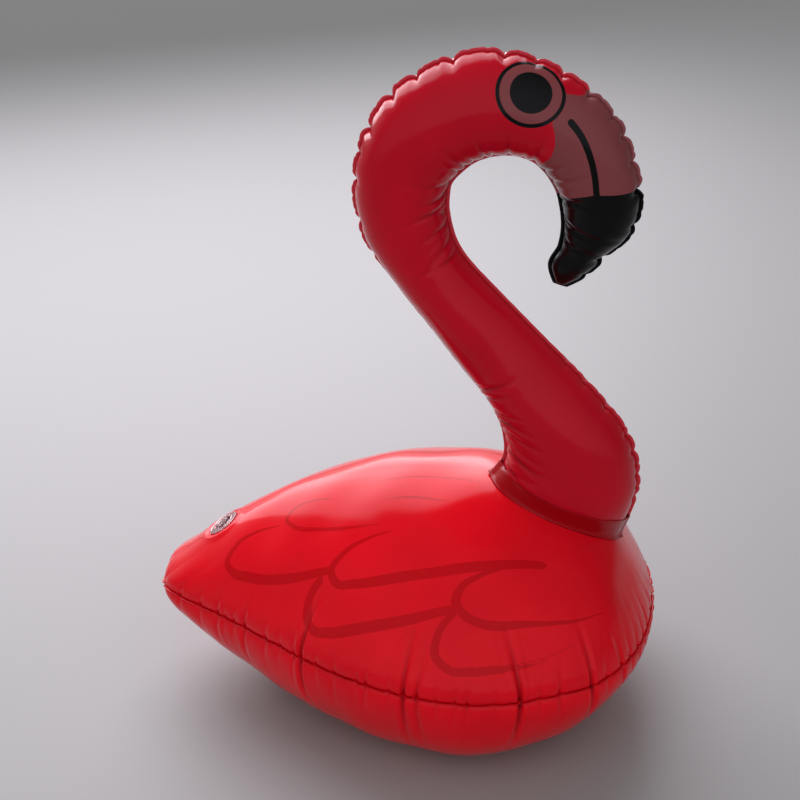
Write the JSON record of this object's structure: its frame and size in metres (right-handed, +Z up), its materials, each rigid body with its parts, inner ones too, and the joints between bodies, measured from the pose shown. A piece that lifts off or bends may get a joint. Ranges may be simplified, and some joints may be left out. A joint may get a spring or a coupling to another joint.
{
  "type": "inflatable pool float",
  "caption": "Inflatable flamingo float with a pillow-shaped body, a hooked neck and head joined by a collar, and a push-in air valve over the tail.",
  "frame": {"origin": "on the floor under the middle of the bounding box", "axes": "+Z up, the tallest way; +X towards the breast; +Y towards the bird's left side, the narrowest way"},
  "size_m": [0.645, 0.5148, 0.8693],
  "materials": {
    "red_vinyl": "glossy, slightly see-through film with printed lines",
    "collar_vinyl": "glossy double film",
    "clear_vinyl": "clear soft vinyl"
  },
  "bodies": {
    "float": {"body_top_panel": "red_vinyl", "body_bottom_panel": "red_vinyl", "body_seam_lip": "red_vinyl", "neck_left_panel": "red_vinyl", "neck_right_panel": "red_vinyl", "neck_seam_lip": "red_vinyl", "neck_collar": "collar_vinyl", "valve_flange": "clear_vinyl", "valve_membrane": "clear_vinyl"},
    "stem": {"valve_stem": "clear_vinyl", "plug_tether": "clear_vinyl"},
    "plug": {"valve_plug": "clear_vinyl"},
    "check_flap": {"valve_check_flap": "clear_vinyl"}
  },
  "joints": [
    {"name": "stem_push_in", "type": "slide", "parent": "float", "child": "stem", "axis": [-0.5915, 0, 0.8063], "range_m": [0, 0.012], "deforming": ["valve_membrane"]},
    {"name": "plug_pull_out", "type": "slide", "parent": "stem", "child": "plug", "axis": [-0.5915, 0, 0.8063], "range_m": [0, 0.012], "deforming": ["plug_tether"]},
    {"name": "check_flap_swing", "type": "hinge", "parent": "stem", "child": "check_flap", "pos_m": [-0.22826, 0, 0.20247], "axis": [0, -1, 0], "range_deg": [0, 40], "stiffness_Nm_per_rad": 0.0004}
  ]
}
